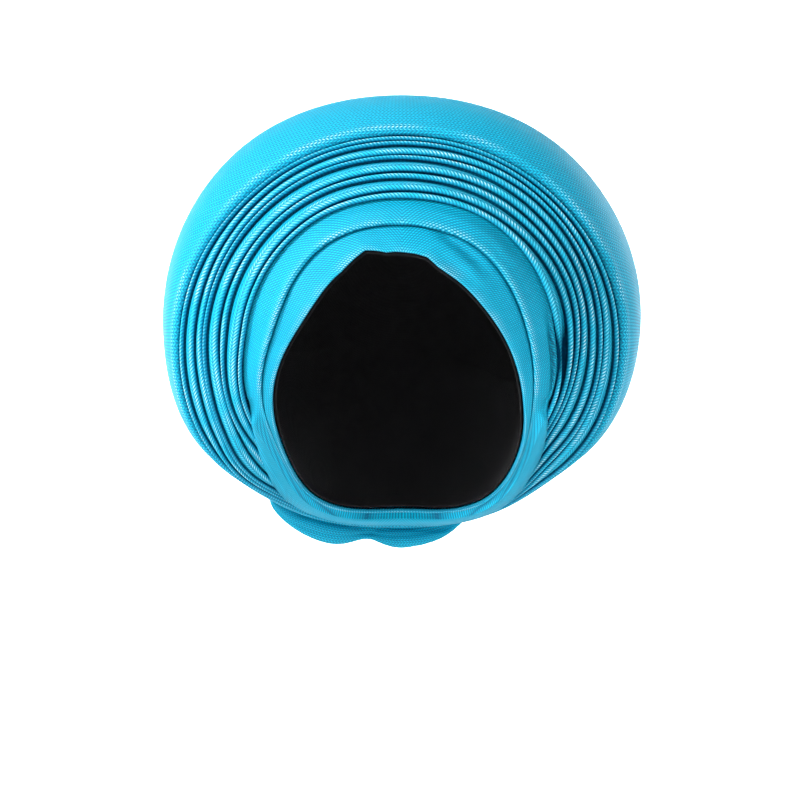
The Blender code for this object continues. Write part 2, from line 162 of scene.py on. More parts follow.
# Soft creases across the brow wrap: angle and share of the way from face edge to pleat 1 at each end
BROW_CREASES = (
    {"start": (10, 0.52), "end": (62, 0.36), "width": 2.6 * MM, "rise": -1.8 * MM},
    {"start": (16, 0.30), "end": (72, 0.22), "width": 3.2 * MM, "rise": 1.3 * MM},
    {"start": (24, 0.12), "end": (66, 0.12), "width": 2.6 * MM, "rise": -1.0 * MM},
    {"start": (20, 0.75), "end": (70, 0.80), "width": 4.0 * MM, "rise": 1.0 * MM},
    {"start": (-35, 0.20), "end": (-80, 0.50), "width": 4.0 * MM, "rise": 0.7 * MM},
    {"start": (-55, 0.75), "end": (-100, 0.60), "width": 3.0 * MM, "rise": -0.9 * MM},
)
CREASE_FADE = 2.5  # how fast they rise and end along their length

# The knot is a bundle that lies along the nape, just behind the rim. Its ends are angles, and it is drawn in
# at its waist by this share
KNOT = {
    "left_end": 219,
    "right_end": 160,
    "height": 17 * MM,
    "width": 20 * MM,
    "behind_rim": 7 * MM,
    "waist": 0.3,
    "waist_width": 0.1,
    "creases": 5,
    "crease_depth": 0.9 * MM,
    "crease_level": 0.6,
    "twist": 2.2,
    "cloth_radius": 120 * MM,
    "cloth_width": 55 * MM,
}

# The hood is drawn in towards the knot in soft gathers: how many would go once round their centre, how deep
# they are, how far from it they reach, and over how far they fade at the rim and at the back
GATHERS = {
    "count": 26,
    "depth": 2.5 * MM,
    "reach": 160 * MM,
    "centre": (-10 * MM, 100 * MM, -190 * MM),
    "rim_fade": 30 * MM,
    "back_fade": 60 * MM,
}

# Weave: rows of stitches that lean the other way in every second row. The brow wrap is cut on the bias, so its
# stitches slant the same way from row to row, away from the top on both sides
WEAVES = {
    "outer": {"row": 1.5 * MM, "stitch": 1.7 * MM, "lean": 1.0},
    "brow": {"row": 1.4 * MM, "stitch": 1.7 * MM, "lean": 0.0},
    "pleats": {"row": 3.0 * MM, "stitch": 2.1 * MM, "lean": 1.5},
}
BROW_SLANT = 0.75
JERSEY = {"row": 0.7 * MM, "stitch": 0.7 * MM, "lean": 1.0}
STITCH_CONTRAST = 0.75
ROW_ROUNDNESS = 0.5

# Painted light and shade across the folds, a value for each step: 1 for a painted highlight on a fold's crest
# and -1 for painted shade in a groove
FACE_EDGE_LIGHT = (0.1, 0.3, 0.5, 0.7, 0.7, 0.5, 0.3, 0.1)
BROW_FOLD_LIGHT = (-0.6, -1.0, -1.0, -0.8, 0.5, 1.0, 0.8, 0.5, 0.2, 0.1)
WRAP_EDGE_LIGHT = (-0.9, -0.5, -0.25, -0.1, 0.3, 1.0, 0.8, 0.1)

# Colours: the cloth's own turquoise, with painted shade in the weave's hollows, a painted highlight and
# painted glints on the ridges, and painted shade in the grooves and the pocket
WEAVE_HOLLOW_SHADE = (0.0, 0.13, 0.28)
TURQUOISE = (0.0, 0.65, 0.92)
RIDGE_HIGHLIGHT_TURQUOISE = (0.04, 0.74, 0.95)
GLINT = (1.0, 0.98, 0.86)
SHADE = (0.0, 0.03, 0.07)
BLACK = (0.005, 0.005, 0.006)
BACKDROP = (0.94, 0.94, 0.94)
SKY = (0.95, 0.97, 1.0)

# How the turquoise cloth takes the light, with a painted highlight and painted glints on the ridges and
# painted shade in the grooves
CREST_SHARPNESS = 1.5
RIDGE_HIGHLIGHT = 0.4
GLINT_SHARPNESS = 6.0
GLINT_STRENGTH = 0.9
GLINT_PATCHES = {"scale": 45, "detail": 1, "contrast": 5.0, "level": -2.0}
GROOVE_SHADE = 0.85
ROUGHNESS = 0.55
RIDGE_SMOOTHNESS = 0.20  # how much less rough the ridges are
SPECULAR = 0.25
STITCH_BUMP = {"Distance": 0.5 * MM, "Strength": 0.5}
JERSEY_BUMP = {"Distance": 0.15 * MM, "Strength": 1.0}
MATT = 0.9  # roughness of the jersey and the backdrop

# Mesh steps
ANGLE_STEPS = 600
ENVELOPE_SAMPLES = 500
PLEAT_SHOWN = np.concatenate([np.linspace(0, RIDGE_AT, 9), np.linspace(RIDGE_AT, 1, 11)[1:]])
PLEAT_TAIL = np.linspace(0.08, 0.4, 4)
BROW_ROLL_STEPS = 7
BROW_LOWER = np.concatenate([np.linspace(0.08, 0.84, 12), (0.9, 0.95, 1.0)])
BROW_LIP_STEPS = 4
BROW_UPPER = np.linspace(0.05, 1, 22)[:-1]
BROW_SHADED_STEPS = 6
WRAP_ROLL_STEPS = 6
PANEL_SHARES = np.linspace(0.03, 1, 30) ** 1.2
HOOD_SHARES = np.linspace(0.02, 0.998, 70)
LINER_STEPS = 40
KNOT_STEPS = 90
KNOT_END_STEP = 0.4  # how far the first and last rings lie from the ends, in steps
KNOT_SIDES = 72

# The photograph's camera: level, straight on, at this distance from the middle of the head
CAMERA_DISTANCE = 1600 * MM
CAMERA_HEIGHT = -119 * MM
CAMERA_SIDE = -1.1 * MM
CAMERA_SENSOR = 36
FRAME_WIDTH = 448 * MM  # what the picture takes in at that distance

# The pale floor curves up into a round wall
FLOOR_BELOW = 330 * MM
FLOOR_RINGS = (0.01, 1.2)
COVE_RADIUS = 3.6
COVE_CURVE = 1.6
COVE_HEIGHT = 3.5
COVE_STEPS = 13
COVE_SIDES = 96

# Lights, in metres, degrees and watts
SKY_STRENGTH = 0.22
LIT_MIDDLE = (0, 0, -0.05)
AREA_LIGHTS = (
    {"name": "key", "size": 0.5, "power": 64, "place": (-1.9, -1.3, 0.8)},
    {"name": "top", "size": 1.2, "power": 15, "place": (-0.3, 0.1, 2.0)},
    {"name": "back", "size": 1.0, "power": 12, "place": (1.6, 1.6, 0.9)},
)
WALL_LIGHT = {
    "cone": 75,
    "blend": 0.6,
    "size": 0.2,
    "power": 1500,
    "place": (0.0, 1.0, 2.2),
    "target": (0, 3.2, -0.25),
}


def smooth_through(xs, ys, rounded=False):
    """A function through the points (xs, ys) that bends smoothly.

    It never overshoots the points, unless rounded: then it swings through them as a round curve does.
    """
    xs, ys = np.asarray(xs, float), np.asarray(ys, float)
    steps = np.diff(xs)
    slopes = np.diff(ys) / steps
    tangents = np.zeros_like(ys)
    if rounded:
        tangents[1:-1] = (steps[1:] * slopes[:-1] + steps[:-1] * slopes[1:]) / (steps[1:] + steps[:-1])
    else:
        same_way = slopes[:-1] * slopes[1:] > 0
        before, after = 2 * steps[1:] + steps[:-1], steps[1:] + 2 * steps[:-1]
        with np.errstate(divide="ignore", invalid="ignore"):
            mean = (before + after) / (before / slopes[:-1] + after / slopes[1:])
        tangents[1:-1] = np.where(same_way, mean, 0)
    tangents[0], tangents[-1] = slopes[0], slopes[-1]

    def value(x):
        x = np.clip(x, xs[0], xs[-1])
        i = np.clip(np.searchsorted(xs, x, side="right") - 1, 0, len(steps) - 1)
        t = (x - xs[i]) / steps[i]
        start = ys[i] * (1 + 2 * t) + tangents[i] * steps[i] * t
        end = ys[i + 1] * (3 - 2 * t) - tangents[i + 1] * steps[i] * (1 - t)
        return start * (1 - t) ** 2 + end * t**2

    return value


def round_the_face(row, rounded=True):
    """A function of the angle through a table row's values, level at the nape, where both ends meet."""
    angles = list(PLACES)
    return smooth_through([angles[0] - 30, *angles, angles[-1] + 30], [row[1], *row, row[-2]], rounded)


ROWS = {
    "face_edge": round_the_face(FACE_EDGE),
    "face_back": round_the_face(FACE_BACK),
    "rim_edge": round_the_face(RIM_EDGE),
    "first_back": round_the_face(FIRST_FOLD_BACK),
    "last_back": round_the_face(LAST_FOLD_BACK),
    "rim_back": round_the_face(RIM_BACK),
    "even_depth": round_the_face(EVEN_DEPTH, rounded=False),
    "wrap_edge_pleat": round_the_face(WRAP_EDGE_PLEAT, rounded=False),
}
FOLD_ROWS = {name: round_the_face(row) for name, row in FOLDS.items()}


def between(start, end, share):
    return start + (end - start) * share


def eased(t):
    """0 up to 0 and 1 from 1 on, smooth in between."""
    t = np.clip(t, 0.0, 1.0)
    return t * t * (3 - 2 * t)


def bell(away, width):
    """1 at 0, falling smoothly to nearly 0 at twice the width on both sides."""
    return np.exp(-((away / width) ** 2))


def face_corner_rise(angle):
    """How far the face edge's corners lift it at this angle."""
    rise = 0.0
    for corner in FACE_CORNERS:
        away = angle - corner["at"]
        reach = corner["left"] if away < 0 else corner["right"]
        rise += corner["rise"] * max(0.0, 1 - abs(away) / reach)
    return rise


def gathered(angle):
    """0 over the top of the face, 1 where the cloth is drawn in behind the jaw and at the nape."""
    return float(eased((abs(angle) - GATHERED_FROM) / GATHERED_OVER))


class Section:
    """The envelope in the half-plane at one angle, and the places of the folds along it."""

    def __init__(self, angle):
        self.angle = angle
        value = {name: float(row(angle)) for name, row in ROWS.items()}
        shares = {name: float(row(angle)) for name, row in FOLD_ROWS.items()}
        face_radius = HEAD_WIDTH / 2 * value["face_edge"]
        face_back = HEAD_DEPTH / 2 * value["face_back"]
        rim_radius = FAN_RADIUS * value["rim_edge"]
        first_back, last_back, rim_back = (
            face_back + FAN_DEPTH * value[name] for name in ("first_back", "last_back", "rim_back")
        )
        first, last = shares["pleat_1"], shares["outer_wrap"]
        knots = [(face_radius + face_corner_rise(angle), face_back)]
        for order, (name, share) in enumerate(shares.items()):
            radius = between(face_radius, rim_radius, share)
            if name == "brow_fold":
                knots.append((radius, between(face_back, first_back, BROW_FOLD_BACK)))
                continue
            even = (order - 1) / len(PLEATS)
            depth_share = between((share - first) / (last - first), even, value["even_depth"])
            knots.append((radius, between(first_back, last_back, depth_share)))
        knots += self.rim_knots(knots[-1], (rim_radius, rim_back))
        self.lay_envelope(np.array(knots))
        self.thickness = between(PLEAT, PLEAT_GATHERED, gathered(angle))
        self.tuck = between(TUCK, TUCK_GATHERED, gathered(angle))
        self.wrap_pleat = value["wrap_edge_pleat"]

    @staticmethod
    def rim_knots(last_fold, rim):
        """From the last fold over the rim of the fan and down the hood to the back of the head."""
        knots = [
            (between(last_fold[0], rim[0], out), between(last_fold[1], rim[1], behind))
            for out, behind in (CREST_AT, PANEL_AT)
        ]
        knots.append(rim)
        power = 2 / HOOD_TAUTNESS
        for share in (0.25, 0.5, 0.75, 1.0):
            turn = share * math.pi / 2
            radius = rim[0] * max(math.cos(turn), 0.0) ** power
            knots.append((radius, between(rim[1], HEAD_DEPTH / 2 + HOOD_CLEARANCE, math.sin(turn) ** power)))
        return knots

    def lay_envelope(self, knots):
        """The smooth curve through the knots, its normals, and each knot's distance along it."""
        chord = np.concatenate([[0], np.cumsum(np.hypot(*np.diff(knots, axis=0).T))])
        dense = np.linspace(0, chord[-1], ENVELOPE_SAMPLES)
        points = np.stack([smooth_through(chord, knots[:, i])(dense) for i in (0, 1)], axis=1)
        points[-1, 0] = 0.0
        along = np.concatenate([[0], np.cumsum(np.hypot(*np.diff(points, axis=0).T))])
        tangents = np.gradient(points, along, axis=0)
        tangents[-1] = (-1.0, 0.0)
        self.points, self.along = points, along
        self.normals = np.stack([tangents[:, 1], -tangents[:, 0]], axis=1)
        self.normals /= np.hypot(*self.normals.T)[:, None]
        names = ["face_edge", *FOLDS, "crest", "panel", "rim"]
        self.u = dict(zip(names, np.interp(chord, dense, along)))
        self.u["back"] = along[-1]
        self.pleat_u = [self.u[name] for name in (*PLEATS, "outer_wrap")]

    def at(self, u, n):
        """The points (radius, Y) at distances u along the envelope and heights n above it."""
        u, n = np.asarray(u, float), np.asarray(n, float)
        point = [np.interp(u, self.along, self.points[:, i]) for i in (0, 1)]
        normal = [np.interp(u, self.along, self.normals[:, i]) for i in (0, 1)]
        before = np.minimum(u, 0.0)
        radius = point[0] - normal[1] * before + normal[0] * n
        back = point[1] + normal[0] * before + normal[1] * n
        return radius, back

    def in_space(self, radius, back):
        """Points in the part's frame from their radius and Y in this half-plane."""
        angle = math.radians(self.angle)
        radius, back = np.asarray(radius, float), np.asarray(back, float)
        return np.stack([radius * math.sin(angle), back, radius * math.cos(angle) - CROWN_HEIGHT], axis=-1)

    def laid(self, u, n):
        """The same for points at distances u and heights n."""
        return self.in_space(*self.at(u, n))


SECTIONS = [Section(angle) for angle in np.linspace(-180, 180, ANGLE_STEPS, endpoint=False)]


def placed(name, data):
    """A new object in the scene."""
    thing = bpy.data.objects.new(name, data)
    bpy.context.scene.collection.objects.link(thing)
    return thing


def grid_piece(name, points, uvs, closed_across, painted_light=None, open_ends=False):
    """A piece from a grid of points: one row for each angle, and one column for each step across.

    The rows join up round the face unless the piece has ends, and the columns join up if closed_across. The
    values given for painted light and shade are kept as a point attribute: 1 for a painted highlight on a
    fold's crest, below 0 for painted shade in a groove or the pocket, and 0 away from them.
    """
    rows, columns = points.shape[:2]
    number = np.arange(rows * columns).reshape(rows, columns)
    around = np.arange(rows - 1 if open_ends else rows)
    across = np.arange(columns if closed_across else columns - 1)
    i, j = np.meshgrid(around, across, indexing="ij")
    i, j = i.ravel(), j.ravel()
    corners = ((i, j), (i, j + 1), (i + 1, j + 1), (i + 1, j))
    quads = np.stack([number[a % rows, b % columns] for a, b in corners], axis=1)
    ends = []
    if not closed_across:
        ends = [number[:, 0].tolist(), number[::-1, -1].tolist()]
    elif open_ends:
        ends = [number[0].tolist(), number[-1, ::-1].tolist()]
    data = bpy.data.meshes.new(name)
    data.from_pydata(points.reshape(-1, 3).tolist(), [], quads.tolist() + ends)
    layer = data.uv_layers.new(name="cloth")
    corner_uvs = np.stack([uvs[a, b] for a, b in corners], axis=1).reshape(-1, 2)
    end_uvs = np.zeros((sum(len(end) for end in ends), 2))
    layer.uv.foreach_set("vector", np.concatenate([corner_uvs, end_uvs]).ravel().astype(np.float32))
    # The painted light and shade, kept on the points
    raised = data.attributes.new("painted_light", "FLOAT", "POINT")
    if painted_light is not None:
        raised.data.foreach_set("value", np.broadcast_to(painted_light, (rows, columns)).ravel().astype(np.float32))
    data.shade_smooth()
    face_out(data)
    return placed(name, data)


def face_out(data):
    """Turns the faces of a closed mesh outwards."""
    data.calc_loop_triangles()
    corners = np.array([[data.vertices[i].co[:] for i in t.vertices] for t in data.loop_triangles[:]])
    volume = np.einsum("ij,ij->i", corners[:, 0], np.cross(corners[:, 1], corners[:, 2])).sum()
    if volume < 0:
        data.flip_normals()


def ring_uvs(points, across):
    """Texture places for a piece that goes round the face: the length round it and across it."""
    rows = len(points)
    front = points.shape[1] // 4
    middle = np.vstack([points[:, front], points[:1, front]])
    around = np.concatenate([[0], np.cumsum(np.linalg.norm(np.diff(middle, axis=0), axis=1))])
    grid = np.zeros((rows + 1, across.shape[1] + 1, 2))
    grid[..., 0] = around[:, None]
    grid[:rows, :-1, 1] = across
    grid[:rows, -1, 1] = across[:, 0]
    grid[rows, :, 1] = grid[0, :, 1]
    return grid


def pocket(angle):
    """1 at the angle of the pocket's middle, and 0 well above and below it."""
    return float(bell(angle - POCKET["at"], POCKET["reach"]))


def pocket_column():
    """The pocket's value at each angle, as a column."""
    return np.array([[pocket(section.angle)] for section in SECTIONS])


def slow_wave(angle, seed):
    """A smooth uneven value between about -1 and 1 round the face."""
    turn = math.radians(angle)
    total = 0.0
    for k, (waves, shift) in enumerate(UNEVEN_WAVES):
        total += math.sin(waves * turn + shift * (seed + 1)) / (1 + UNEVEN_FADE * k)
    return total / UNEVEN_SUM


def pleat_top(section, k, share):
    """Height of the front of pleat k at shares of the strip that shows."""
    below = CLOTH if k + 1 == len(PLEATS) else section.thickness
    rolled = np.sqrt(np.clip(1 - (1 - share / RIDGE_AT) ** 2, 0, 1))
    fallen = np.clip((share - RIDGE_AT) / (1 - RIDGE_AT), 0, 1) ** FALL_POWER
    edge = between(-0.5 * section.thickness, RIDGE_RISE, rolled)
    slope = between(RIDGE_RISE, -below - GAP, fallen)
    return np.where(share < RIDGE_AT, edge, slope)


def pleat_back(section, k, share):
    """Height of the back of pleat k at shares of the strip that shows."""
    top = pleat_top(section, k, np.maximum(share, RIDGE_AT))
    return top - section.thickness - RIDGE_RISE * eased(1 - share / RIDGE_AT)


def pleat_profile(section, k):
    """The outline of pleat k, as u and n: its front, its tail under the next layer, and its back."""
    start, end = section.pleat_u[k], section.pleat_u[k + 1]
    lift = UNEVEN * slow_wave(section.angle, k)
    if k == 0:
        lift -= POCKET["pressed"] * pocket(section.angle)
    if k + 1 < len(PLEATS):
        tail_u = between(end, section.pleat_u[k + 2], PLEAT_TAIL)
        tail_n = pleat_back(section, k + 1, PLEAT_TAIL) - GAP
    else:
        tail_u = end + section.tuck * PLEAT_TAIL / PLEAT_TAIL[-1]
        tail_n = np.full(len(PLEAT_TAIL), -CLOTH - GAP)
    front_n = pleat_top(section, k, PLEAT_SHOWN) + lift * np.sin(np.pi * PLEAT_SHOWN)
    back_share = PLEAT_SHOWN[:2:-1]
    back_n = pleat_back(section, k, back_share)
    front_u, back_u = between(start, end, PLEAT_SHOWN), between(start, end, back_share)
    u = np.concatenate([front_u, tail_u, tail_u[::-1], back_u])
    n = np.concatenate([front_n, tail_n, tail_n[::-1] - section.thickness, back_n])
    return u, n


def pleat(k):
    """Pleat k: a rounded folded edge, a swell that shows, and a tail under the next layer."""
    rows, across = [], []
    for section in SECTIONS:
        u, n = pleat_profile(section, k)
        rows.append(section.laid(u, n))
        across.append(u - section.pleat_u[k])
    points = np.array(rows)
    # Painted light and shade: a painted highlight on the swell, and painted shade before the next pleat, at
    # the folded edge's first step, on the tail and on the back
    light = bell(PLEAT_SHOWN - RIDGE_AT, RIDGE_WIDTH) - eased((PLEAT_SHOWN - GROOVE_FROM) / (1 - GROOVE_FROM))
    painted_light = np.full(points.shape[:2], -1.0)
    painted_light[:, 1 : len(light)] = light[1:]
    # Painted shade where pleat 1 is pressed in at the pocket
    if k == 0:
        painted_light -= POCKET["pleat_shade"] * pocket_column()
    return grid_piece(PLEATS[k] + "_cloth", points, ring_uvs(points, np.array(across)), True, painted_light)


def crease_height(section, share):
    """How far the brow wrap's creases lift it at shares of the way from the face edge to pleat 1."""
    height = np.zeros_like(share)
    reach = section.pleat_u[0]
    radius = section.at(0.5 * reach, 0)[0]
    for crease in BROW_CREASES:
        start = np.array([math.radians(crease["start"][0]) * radius, crease["start"][1] * reach])
        end = np.array([math.radians(crease["end"][0]) * radius, crease["end"][1] * reach])
        along = end - start
        length = np.hypot(*along)
        x = math.radians(section.angle) * radius - start[0]
        y = share * reach - start[1]
        t = (x * along[0] + y * along[1]) / length**2
        away = (y * along[0] - x * along[1]) / length
        fade = eased(CREASE_FADE * t) * eased(CREASE_FADE * (1 - t))
        height += crease["rise"] * bell(away, crease["width"]) * fade
    return height


def wrap_edge(section):
    """The last stretch of the brow wrap's front, (u, n), under pleat 1 or over the pleats."""
    count = section.wrap_pleat
    first, second = section.pleat_u[:2]
    under = -section.thickness - GAP
    over = RIDGE_RISE + GAP + CLOTH
    stretch = np.array([0.0, 0.5, 1.0])
    if count < CROSSING[0]:
        tucked = WRAP_TUCK * (1 - count / CROSSING[0])
        return between(first, between(first, second, tucked), stretch), np.full(3, under)
    near = first - 0.5 * GAP
    raised = float(eased((count - CROSSING[0]) / (CROSSING[1] - CROSSING[0])))
    counts = (CROSSING[1], *range(2, len(section.pleat_u) + 1))
    edge = float(np.interp(count, counts, (near, *section.pleat_u[1:])))
    return between(near - CROSSING_RUN, edge, stretch), np.full(3, between(under, over, raised))


def brow_front(section):
    """The brow wrap's front in five parts, each (u, n), from its rolled face edge to its outer edge.

    The lip is the step at the brow fold. Its places are in mm from the fold, and its heights are shares of the
    step and of the lip's own rise.
    """
    folded = 1 - min(section.wrap_pleat, 1.0)
    step = BROW_STEP * folded
    roll = 0.5 * CLOTH
    fold, reach = section.u["brow_fold"], section.pleat_u[0]
    edge_u, edge_n = wrap_edge(section)
    turn = np.linspace(-0.5, 0.5, BROW_ROLL_STEPS) * math.pi
    rolled = roll * (1 - np.cos(turn)), roll * (np.sin(turn) - 1)
    lower_u = between(roll, fold + between(-0.4, 0.9, folded) * MM, BROW_LOWER)
    lower_n = -step * eased(BROW_LOWER * 1.1) - GROOVE * folded * bell(1 - BROW_LOWER, GROOVE_WIDTH)
    lip_u = fold + np.array([between(-0.2, 0.25, folded), 0.0, 0.3, 1.2]) * MM
    lip_n = np.array([-0.75, -0.4, 0.0, 0.0]) * step + np.array([0, 0, 0.2, 1.0]) * LIP_RISE * folded
    upper_u = between(lip_u[-1], edge_u[0], BROW_UPPER)
    upper_n = between(lip_n[-1] * (1 - eased(3 * BROW_UPPER)), edge_n[0], eased(BROW_UPPER) ** 1.3)
    dip = bell(BROW_UPPER - POCKET["deepest"], POCKET["width"])
    upper_n -= POCKET["depth"] * pocket(section.angle) * dip
    lower_n += crease_height(section, lower_u / reach)
    upper_n += crease_height(section, upper_u / reach) * eased(5 * (1 - BROW_UPPER))
    parts = (rolled, (lower_u, lower_n), (lip_u, lip_n), (upper_u, upper_n), (edge_u, edge_n))
    return [np.array(part) for part in parts]


def brow_wrap():
    """The brow wrap: a rolled face edge, a fold, and an outer edge under pleat 1 or over the pleats."""
    rows, across = [], []
    for section in SECTIONS:
        rolled, lower, lip, upper, edge = brow_front(section)
        front = np.hstack([rolled, lower, lip, upper, edge])
        back = np.hstack([lower[:, ::3], upper[:, ::3], edge])
        back[1] -= CLOTH
        if section.wrap_pleat < CROSSING[0]:
            back[1] = np.minimum(back[1], -CLOTH)
        u, n = np.hstack([front, back[:, ::-1]])
        rows.append(section.laid(u, n))
        across.append(u)
    points = np.array(rows)
    fold_at = BROW_ROLL_STEPS + len(BROW_LOWER)
    upper_end = fold_at + BROW_LIP_STEPS + len(BROW_UPPER)
    # Painted light and shade: a painted highlight along the rolled face edge, painted shade under the brow
    # fold, a painted highlight on its lip, and painted shade at the pocket
    painted_light = np.zeros(points.shape[:2])
    painted_light[:, 2 : 2 + len(FACE_EDGE_LIGHT)] = FACE_EDGE_LIGHT
    painted_light[:, fold_at - 2 : fold_at - 2 + len(BROW_FOLD_LIGHT)] = BROW_FOLD_LIGHT
    painted_light[:, upper_end - BROW_SHADED_STEPS : upper_end] -= POCKET["wrap_shade"] * pocket_column()
    uvs = ring_uvs(points, np.array(across))
    uvs[..., 0] = np.abs(uvs[..., 0] - uvs[len(rows) // 2, 0, 0]) - BROW_SLANT * uvs[..., 1]
    return grid_piece("brow_wrap_cloth", points, uvs, True, painted_light)


def gather_height(points, fade):
    """How far the gathers lift the hood at these points: uneven waves, with wider ones half as high."""
    count = GATHERS["count"]
    away = points - np.array(GATHERS["centre"])
    turn = np.arctan2(away[..., 0], away[..., 2])
    wave = np.sin(count * turn + 1.5 * np.sin(3 * turn)) + 0.5 * np.sin(0.6 * count * turn)
    return GATHERS["depth"] * wave * bell(np.linalg.norm(away, axis=-1), GATHERS["reach"]) * fade


def outer_wrap():
    """The outer wrap: a folded edge over the last pleat, the wide panel, the rim and the hood."""
    rows, flats = [], []
    turn = np.linspace(0, 0.5, WRAP_ROLL_STEPS) * math.pi
    rim_step = WRAP_ROLL_STEPS + len(PANEL_SHARES)
    last_step = rim_step + len(HOOD_SHARES) - 1
    # The inside has fewer steps: every fourth one as far as the rim and every sixth one over the hood
    inside = np.r_[3:rim_step:4, rim_step:last_step:6, last_step]
    for section in SECTIONS:
        start, rim, back = section.u["outer_wrap"], section.u["rim"], section.u["back"]
        rolled_u = start + WRAP_ROLL * (1 - np.cos(turn))
        rolled_n = between(-WRAP_EDGE_TUCK, RIM_RIDGE, np.sin(turn))
        panel_u = between(start + WRAP_ROLL, rim, PANEL_SHARES)
        hood_u = between(rim, back, HOOD_SHARES)
        dipped = 1 - RIM_DIP * eased((panel_u - start - WRAP_ROLL) / RIM_DIP_OVER)
        panel_n = RIM_RIDGE * dipped * eased((rim - panel_u) / RIM_LEVEL_OVER)
        u = np.concatenate([rolled_u, panel_u, hood_u])
        n = np.concatenate([rolled_n, panel_n, np.zeros(len(HOOD_SHARES))])
        fade = eased((u - rim) / GATHERS["rim_fade"]) * eased((back - u) / GATHERS["back_fade"])
        n += gather_height(section.laid(u, n), fade)
        whole_u = np.concatenate([u[inside][::-1], u])
        whole_n = np.concatenate([np.minimum(n[inside] - CLOTH, -CLOTH)[::-1], n])
        rows.append(section.laid(whole_u, whole_n))
        radius = section.at(rim, 0)[0]
        before = radius - (rim - whole_u)
        after = radius * (back - whole_u) / (back - rim)
        flats.append(np.where(whole_u < rim, before, after))
    flats = np.array([*flats, flats[0]])
    angles = np.radians([section.angle for section in SECTIONS] + [180.0])[:, None]
    uvs = np.stack([flats * np.sin(angles), flats * np.cos(angles)], axis=-1)
    # Painted light and shade: painted shade where the folded edge turns under, and a painted highlight on the
    # ridge behind it
    painted_light = np.zeros(len(whole_u))
    painted_light[len(inside) : len(inside) + len(WRAP_EDGE_LIGHT)] = WRAP_EDGE_LIGHT
    return grid_piece("outer_wrap_cloth", np.array(rows), uvs, False, painted_light)


def liner_curve(section, out):
    """The cap's inside, or its outside if out is its thickness: an ellipse from the face edge to the back."""
    radius, back = section.at(-LINER_SHOWS, -(CLOTH + GAP + LINER))
    turn = math.radians(section.angle)
    head = math.hypot(HEAD_WIDTH / 2 * math.sin(turn), CROWN_HEIGHT * math.cos(turn))
    deep = HEAD_DEPTH / 2 + LINER_EASE
    side = max(head, radius / math.sqrt(1 - (back / deep) ** 2))
    front_deep = deep if back >= 0 else -back / math.sqrt(1 - (radius / side) ** 2)
    slant = np.linspace(math.asin(back / front_deep), math.pi / 2 - LINER_OPENING, LINER_STEPS)
    depth = np.where(slant >= 0, deep, front_deep)
    inside = np.stack([side * np.cos(slant), depth * np.sin(slant)], axis=1)
    tangents = np.gradient(inside, axis=0)
    normals = np.stack([tangents[:, 1], -tangents[:, 0]], axis=1)
    normals /= np.hypot(*normals.T)[:, None]
    return inside + out * normals


def liner_cap():
    """The thin black cap, with a hem round its face edge."""
    rows, uvs = [], []
    for section in SECTIONS:
        inside, outside = liner_curve(section, 0.0), liner_curve(section, LINER)
        forward = inside[0] - inside[1]
        hem = (inside[0] + outside[0]) / 2 + forward / np.hypot(*forward) * LINER_HEM
        profile = np.vstack([outside[::-1], hem[None], inside])
        points = section.in_space(profile[:, 0], profile[:, 1])
        rows.append(points)
        uvs.append(points[:, [0, 1]] + points[:, [2, 2]])
    return grid_piece("liner_cap_cloth", np.array(rows), np.array([*uvs, uvs[0]]), False)


def nape_knot():
    """A bundle of cloth drawn in at its waist, with lengthwise creases and rounded ends."""
    rows, uvs = [], []
    turn = np.arange(KNOT_SIDES) / KNOT_SIDES * math.tau
    for step in range(KNOT_STEPS + 1):
        share = (step + KNOT_END_STEP) / (KNOT_STEPS + 2 * KNOT_END_STEP)
        angle = between(KNOT["right_end"], KNOT["left_end"], share)
        section = Section(angle if angle <= 180 else angle - 360)
        waist = 1 - KNOT["waist"] * bell(share - 0.5, KNOT["waist_width"])
        size = math.sqrt(1 - (2 * share - 1) ** 2) * waist
        folds = np.abs(np.sin(KNOT["creases"] * turn / 2 + KNOT["twist"] * share)) - KNOT["crease_level"]
        reach = 1 + folds * KNOT["crease_depth"] / (0.5 * KNOT["height"])
        middle = section.u["rim"] + KNOT["behind_rim"]
        u = middle + 0.5 * KNOT["width"] * size * np.cos(turn) * reach
        n = 0.5 * KNOT["height"] * size * (1 + np.sin(turn) * reach)
        rows.append(section.laid(u, np.maximum(n, 0.0)))
        along = np.full(KNOT_SIDES + 1, math.radians(angle) * KNOT["cloth_radius"])
        uvs.append(np.stack([along, np.linspace(0, KNOT["cloth_width"], KNOT_SIDES + 1)], axis=1))
    return grid_piece("nape_knot_cloth", np.array(rows), np.array(uvs), True, open_ends=True)


def new_material(name):
    """A new material, with its node tree and its shader."""
    material = bpy.data.materials.new(name)
    material.use_nodes = True
    return material, material.node_tree, material.node_tree.nodes["Principled BSDF"]


def math_node(tree, operation, first, second=None, third=None, clamped=False):
    node = tree.nodes.new("ShaderNodeMath")
    node.operation = operation
    node.use_clamp = clamped
    for socket, value in zip(node.inputs, (first, second, third)):
        if isinstance(value, bpy.types.NodeSocket):
            tree.links.new(value, socket)
        elif value is not None:
            socket.default_value = value
    return node.outputs[0]


def mixed(tree, share, first, second):
    """A colour between two others."""
    mix = tree.nodes.new("ShaderNodeMix")
    mix.data_type = "RGBA"
    tree.links.new(share, mix.inputs["Factor"])
    for socket, colour in ((mix.inputs["A"], first), (mix.inputs["B"], second)):
        if isinstance(colour, bpy.types.NodeSocket):
            tree.links.new(colour, socket)
        else:
            socket.default_value = (*colour, 1)
    return mix.outputs["Result"]


def add_bump(tree, shader, height, sizes):
    bump = tree.nodes.new("ShaderNodeBump")
    for name, value in sizes.items():
        bump.inputs[name].default_value = value
    tree.links.new(height, bump.inputs["Height"])
    tree.links.new(bump.outputs[0], shader.inputs["Normal"])


